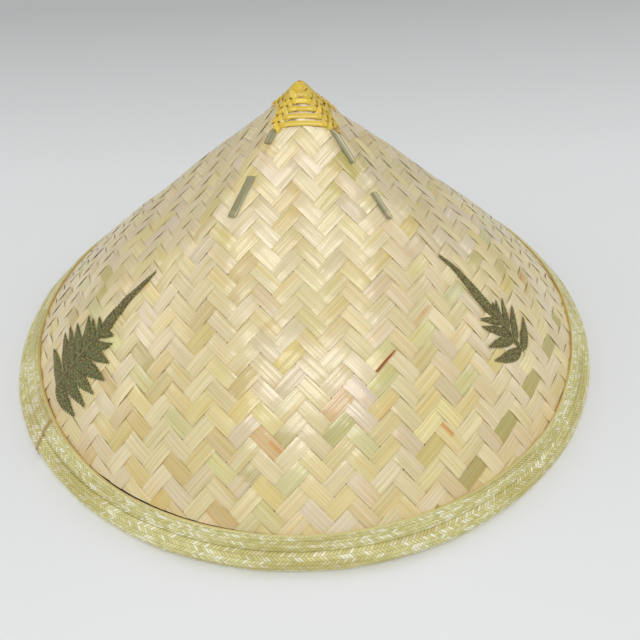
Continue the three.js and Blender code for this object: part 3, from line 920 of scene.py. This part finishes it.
def ring_mesh(name, section, steps):
    bm = bmesh.new()
    verts = [bm.verts.new((radius, 0, height)) for radius, height in section]
    edges = [bm.edges.new((verts[i - 1], verts[i])) for i in range(len(verts))]
    sector = 2 * math.pi / RING_SECTORS
    bmesh.ops.spin(bm, geom=verts + edges, cent=(0, 0, 0), axis=(0, 0, 1), angle=sector,
                   steps=steps // RING_SECTORS)
    bmesh.ops.spin(bm, geom=bm.verts[:] + bm.edges[:] + bm.faces[:], cent=(0, 0, 0), axis=(0, 0, 1),
                   angle=2 * math.pi - sector, steps=RING_SECTORS - 1, use_duplicate=True)
    bmesh.ops.remove_doubles(bm, verts=bm.verts, dist=0.001)
    bmesh.ops.recalc_face_normals(bm, faces=bm.faces)
    return mesh_from(bm, name)


def set_ring_map(mesh, turn, row, rows):
    """The map of a ring in straws and rows, carried on across its two seams."""
    corners = np.empty(len(mesh.loops), np.int32)
    mesh.loops.foreach_get("vertex_index", corners)
    quads = np.stack([turn[corners], row[corners]], -1).reshape(-1, 4, 2)
    for axis, full in ((0, STRAWS_ROUND), (1, rows)):
        wide = quads[..., axis].max(1) - quads[..., axis].min(1) > full / 2
        low = wide[:, None] & (quads[..., axis] < full / 2)
        quads[..., axis] += np.where(low, full, 0)
    mesh.uv_layers.new(name="lay").data.foreach_set("uv", quads.astype(np.float32).ravel())


def behind_seam(azimuth):
    """How far an azimuth lies behind the seam, round the back, from 0 to a full turn."""
    return (SEAM - azimuth) % (2 * np.pi)


def seam_step(azimuth, height):
    """The binding is a little thicker just behind its seam and thins out from there."""
    behind = behind_seam(azimuth)
    rise = smooth(behind, 0, 0.012) * (1 - smooth(behind, 0.05, 0.75))
    return height * rise


def seam_stain(azimuth, around):
    """Golden brown stain in a slanted line at the seam."""
    gap = (behind_seam(azimuth - 0.0175 * np.cos(around)) + np.pi) % (2 * np.pi) - np.pi
    return 0.8 * np.exp(-((gap / 0.009) ** 2)) + 0.3 * np.exp(-(((gap - 0.1) / 0.1) ** 2))


print("the binding's seam is at", round(math.degrees(SEAM)), "degrees from the front")

# %% The round roll
RIM_RADIUS = 205
ROLL_RADIUS = 5.8
ROLL_STEPS = 2300 // RING_SECTORS * RING_SECTORS
ROLL_SIDES = 40
RELIEF = 0.36
middle = RIM_RADIUS - ROLL_RADIUS
rows = 2 * round(2 * math.pi * ROLL_RADIUS / ROW_WIDTH / 2)
turns = 2 * np.pi * np.arange(ROLL_SIDES) / ROLL_SIDES
section = [(middle + ROLL_RADIUS * math.cos(a), ROLL_RADIUS + ROLL_RADIUS * math.sin(a)) for a in turns]
roll_mesh = ring_mesh("rim_roll_plait", section, ROLL_STEPS)
table = points_of(roll_mesh)
reach = np.hypot(table[:, 0], table[:, 1])
azimuth = np.arctan2(table[:, 1], table[:, 0])
around = np.arctan2(table[:, 2] - ROLL_RADIUS, reach - middle)
turn = azimuth % (2 * np.pi) / (2 * np.pi) * STRAWS_ROUND
row = around % (2 * np.pi) / (2 * np.pi) * rows
set_ring_map(roll_mesh, turn, row, rows)
facing = azimuth + np.pi / 2
front_share = (0.5 + 0.5 * np.cos(facing)) ** 1.5
swell = 1.5 * (0.25 + 0.75 * front_share) * np.exp(-(((around - math.radians(112)) / 0.6) ** 2))
waver = 0.12 * np.sin(azimuth * 9 + 1) + 0.1 * np.sin(azimuth * 23 + 4)
size = ROLL_RADIUS - 0.15 + waver + swell + seam_step(facing, 0.45) - RELIEF * (1 - straw_height(turn, row))
set_value(roll_mesh, "stain", seam_stain(facing, around))
spread = middle + size * np.cos(around)
up = np.maximum(ROLL_RADIUS + size * np.sin(around), 0.05)
places = np.stack([spread * np.cos(azimuth), spread * np.sin(azimuth), up], -1) * MM
add_piece(roll_mesh, places, straw, ["rim_roll"], sharp=180)

# %% [markdown]
# The band lies on the mat, so its section is drawn as a radius and a height over the mat, and the ring
# is laid on the hat after the straws are raised.

# %% The folded band
BAND_START = 189.3
BAND_INNER = 1.3
BAND_OUTER = 3.0
FRONT_THINNER = 0.5
BAND_STEPS = ROLL_STEPS
lengthen = math.hypot(1, SLOPE)
edge_azimuths = (-180, -110, -72, -55, -38, 53, 62, 85, 180)
edge_radii = (188.5, 187.4, 187.4, 189.2, 191.4, 191.4, 189.3, 188, 188.5)


def band_edge(azimuth):
    """Radius of the band's inner edge: the maker's stitching isn't even all round the hat."""
    degrees = (np.degrees(azimuth) + 180) % 360 - 180
    return np.mean([np.interp(degrees + step, edge_azimuths, edge_radii) for step in (-4, 0, 4)], axis=0)


fold = [(CROWN_RADIUS + BAND_OUTER * math.cos(a) / lengthen, BAND_OUTER * math.sin(a))
        for a in np.radians(np.linspace(-80, 80, 9))]
legs = np.linspace(BAND_START + 0.4, CROWN_RADIUS, 8)[:-1]
outer_leg = [(radius, BAND_OUTER) for radius in legs[::-1]]
lower_leg = [(radius, -BAND_OUTER) for radius in legs]
pocket = [(BAND_START, BAND_INNER + 0.5), (BAND_START + 0.2, BAND_INNER), (CROWN_RADIUS + 0.3, BAND_INNER),
          (CROWN_RADIUS + 0.3, -BAND_INNER), (BAND_START + 0.2, -BAND_INNER), (BAND_START, -BAND_INNER - 0.5)]
section = np.array(lower_leg + fold + outer_leg + pocket)
closed = np.concatenate([section, section[:1]])
walked = np.concatenate([[0], np.cumsum(np.hypot(np.diff(closed[:, 0]) * lengthen, np.diff(closed[:, 1])))])
band_rows = 2 * round(walked[-1] / ROW_WIDTH / 2)
band_mesh = ring_mesh("rim_band_plait", [tuple(point) for point in section], BAND_STEPS)
table = points_of(band_mesh)
reach = np.hypot(table[:, 0], table[:, 1])
spin_angle = np.arctan2(table[:, 1], table[:, 0])
azimuth = spin_angle + np.pi / 2
apart = np.abs(reach[:, None] - section[:, 0]) + np.abs(table[:, 2:] - section[:, 1])
nearest = apart.argmin(1)
row = walked[nearest] / walked[-1] * band_rows
turn = spin_angle % (2 * np.pi) / (2 * np.pi) * STRAWS_ROUND
set_ring_map(band_mesh, turn, row, band_rows)
outside = np.abs(section[nearest, 1]) > BAND_INNER + 0.6
raise_by = np.where(outside, RELIEF * (straw_height(turn, row) - 1) + seam_step(azimuth, 0.3), 0)
raise_by = raise_by - np.where(outside, FRONT_THINNER * (0.5 + 0.5 * np.cos(azimuth)) ** 1.5, 0)
raise_by = raise_by - np.where(outside, 0.7 * (1 - smooth(reach, BAND_START, BAND_START + 1.6)), 0)
lift = table[:, 2] + np.sign(table[:, 2]) * raise_by
shrink = (CROWN_RADIUS - band_edge(azimuth)) / (CROWN_RADIUS - BAND_START)
radius = CROWN_RADIUS + (reach - CROWN_RADIUS) * np.where(reach < CROWN_RADIUS, shrink, 1)
set_value(band_mesh, "stain", seam_stain(azimuth, np.full(len(table), 1.57)))
add_piece(band_mesh, hat_point(radius, azimuth, lift), straw, ["rim_band"], sharp=180)

# %% [markdown]
# ## Small things at the rim
# A thin splint runs round between mat and band, and the band's inner edge is stitched with a pale
# thread. Where the binding ends at the left front, a few loose straw ends stick out. Each is a short
# cone, bent a little, and the lowest ones are kept clear of the floor.

# %% The stitched edge and the hoop
def edge_ring(name, inward, thickness, beads, size, high):
    """A thin ring along the band's inner edge, some way inward of it, with a bead for each stitch."""
    around_it = 2 * np.pi * np.arange(8) / 8
    section = [(RIM_RADIUS + math.cos(a), math.sin(a)) for a in around_it]
    mesh = ring_mesh(name, section, 4 * STRAWS_ROUND)
    table = points_of(mesh)
    spin_angle = np.arctan2(table[:, 1], table[:, 0])
    azimuth = spin_angle + np.pi / 2
    local = np.hypot(table[:, 0], table[:, 1]) - RIM_RADIUS
    swollen = 1 + beads * (np.abs(np.sin(spin_angle * STRAWS_ROUND / 2)) - 0.6)
    inward_here = np.interp(np.degrees(azimuth) % 360, (0, 55, 85, 180, 275, 305, 360), inward)
    radius = band_edge(azimuth) - inward_here + local * size * swollen
    lift = high + table[:, 2] * thickness * swollen
    set_map(mesh, spin_angle * RIM_RADIUS, np.arctan2(table[:, 2], local) * size)
    return mesh, hat_point(radius, azimuth, lift)


thread_mesh, places = edge_ring("rim_edge_thread", [0] * 7, 0.5, 0.7, 0.3, 1.6)
set_tint(thread_mesh, np.tile(linear("#ddd591"), (len(places), 1)))
set_value(thread_mesh, "streak", np.zeros(len(places)))
add_piece(thread_mesh, places, scraped_bamboo, ["rim_band"], sharp=180)

showing = [-0.2, 0.1, 0.3, 0.4, 0.6, 0.3, -0.2]
hoop_mesh, places = edge_ring("rim_hoop_splint", showing, 0.75, 0.0, 0.7, 0.9)
at_front = (np.clip(-places[:, 1:2] / 0.19, 0, 1)) ** 3
set_tint(hoop_mesh, linear("#c9aa56") + (linear("#e6d69a") - linear("#c9aa56")) * at_front)
set_value(hoop_mesh, "streak", np.full(len(places), 0.2))
add_piece(hoop_mesh, places, scraped_bamboo, ["rim_hoop"], sharp=180)

# %% The loose straw ends
ENDS = 11
END_LENGTH = 9
bm = bmesh.new()
generator = np.random.default_rng(11)
for end in range(ENDS):
    before = len(bm.verts)
    bmesh.ops.create_cone(bm, cap_ends=True, segments=6, radius1=0.4, radius2=0.2, depth=END_LENGTH)
    bmesh.ops.subdivide_edges(bm, edges=[edge for edge in bm.edges if edge.calc_length() > 4], cuts=4)
    bm.verts.ensure_lookup_table()
    verts = bm.verts[before:]
    bend = generator.uniform(-0.015, 0.03)
    for vert in verts:
        vert.co.x += bend * (vert.co.z + END_LENGTH / 2) ** 2
    at = SEAM - math.radians(0.6 + generator.uniform(-0.6, 0.6))
    level = generator.uniform(1.8, 7.5)
    reach = RIM_RADIUS - 0.4 - 0.09 * (level - 5) ** 2
    spot = Vector((reach * math.sin(at), -reach * math.cos(at), level))
    lay_down = (Matrix.Translation(spot)
                @ Matrix.Rotation(at + math.radians(generator.uniform(-10, 2)), 4, "Z")
                @ Matrix.Rotation(math.radians(90 + generator.uniform(-5, 16)), 4, "Y"))
    bmesh.ops.transform(bm, matrix=lay_down, verts=verts)
bmesh.ops.recalc_face_normals(bm, faces=bm.faces)
ends_mesh = mesh_from(bm, "rim_straw_ends")
table = points_of(ends_mesh)
table[:, 2] = np.maximum(table[:, 2], 0.15 + 0.03 * table[:, 2])
set_map(ends_mesh, table[:, 0], table[:, 2])
set_tint(ends_mesh, np.tile(linear("#9a7c3c"), (len(table), 1)))
set_value(ends_mesh, "streak", np.full(len(table), 0.5))
add_piece(ends_mesh, table * MM, scraped_bamboo, ["rim_splice"])

# %% [markdown]
# ## Floor, light and camera
# The hat lies on a pale sweep of paper, which is a floor that curves up into a wall. One broad soft
# lamp above the camera gives the gloss on the front. Two square lamps light the sides, and a bright
# surround fills the shadows.

# %% The paper sweep
bm = bmesh.new()
bend_radius, depth_back, wall = 0.9, 1.5, 3.0
profile = [(-4.0, 0.0), (depth_back, 0.0)]
profile += [(depth_back + bend_radius * math.sin(a), bend_radius * (1 - math.cos(a)))
            for a in np.radians(np.arange(6, 91, 6))]
profile.append((depth_back + bend_radius, wall))
verts = [bm.verts.new((-4.0, y, z)) for y, z in profile]
edges = [bm.edges.new((verts[i], verts[i + 1])) for i in range(len(verts) - 1)]
grown = bmesh.ops.extrude_edge_only(bm, edges=edges)["geom"]
bmesh.ops.translate(bm, verts=[item for item in grown if isinstance(item, bmesh.types.BMVert)], vec=(8, 0, 0))
bmesh.ops.recalc_face_normals(bm, faces=bm.faces)
paper_mesh = mesh_from(bm, "paper_sweep")
paper_mesh.shade_smooth()
paper, tree, surface = new_material("pale_paper")
place = add_node(tree, "ShaderNodeTexCoord").outputs["Object"]
back = add_node(tree, "ShaderNodeSeparateXYZ", {0: place}).outputs[1]
# Painted shade: the pale paper is painted grey towards the back, where less light reaches it.
painted_back_shade = ramp(tree, back, 0.24, 0.72)
paper_color = blend(tree, painted_back_shade, (0.87, 0.88, 0.885, 1), (0.63, 0.645, 0.64, 1))
tree.links.new(paper_color, surface.inputs["Base Color"])
surface.inputs["Roughness"].default_value = 0.7
surface.inputs["Specular IOR Level"].default_value = 0.2
paper_mesh.materials.append(paper)
sweep = bpy.data.objects.new("paper_sweep", paper_mesh)
bpy.context.scene.collection.objects.link(sweep)

# %% Lamps
def area_lamp(name, place, size, power, aim=(0, 0, 0.08)):
    lamp = bpy.data.lights.new(name, "AREA")
    lamp.shape = "RECTANGLE"
    lamp.size, lamp.size_y = size
    lamp.energy = power
    holder = bpy.data.objects.new(name, lamp)
    holder.location = place
    holder.rotation_euler = (Vector(aim) - Vector(place)).to_track_quat("-Z", "Y").to_euler()
    bpy.context.scene.collection.objects.link(holder)


area_lamp("front_lamp", (0.0, -0.85, 1.2), (1.1, 0.5), 6.9)
area_lamp("left_lamp", (-1.6, 0.25, 1.1), (1.2, 1.2), 5.5)
area_lamp("right_lamp", (1.6, 0.4, 1.1), (1.2, 1.2), 5.5)
world = bpy.data.worlds.new("studio")
world.use_nodes = True
world.node_tree.nodes["Background"].inputs["Color"].default_value = (0.98, 0.99, 1.0, 1)
world.node_tree.nodes["Background"].inputs["Strength"].default_value = 0.5
bpy.context.scene.world = world
bpy.context.scene.view_settings.view_transform = "Standard"

# %% The camera at the photo's angle
CAMERA_PLACE = (0, -0.4244, 0.3766)
CAMERA_PITCH = 41.06
CAMERA_YAW = 1.57
CAMERA_ROLL = 1.67
FOCAL_PIXELS = 753.9
IMAGE_SIZE = 640
camera = bpy.data.cameras.new("camera")
camera.sensor_width = 36
camera.lens = FOCAL_PIXELS * camera.sensor_width / IMAGE_SIZE
camera.clip_start = 0.01
holder = bpy.data.objects.new("camera", camera)
holder.matrix_world = (Matrix.Translation(CAMERA_PLACE)
                       @ Matrix.Rotation(math.radians(-CAMERA_YAW), 4, "Z")
                       @ Matrix.Rotation(math.radians(90 - CAMERA_PITCH), 4, "X")
                       @ Matrix.Rotation(math.radians(-CAMERA_ROLL), 4, "Z"))
bpy.context.scene.collection.objects.link(holder)
bpy.context.scene.camera = holder
print("lens in millimetres:", round(camera.lens, 1))
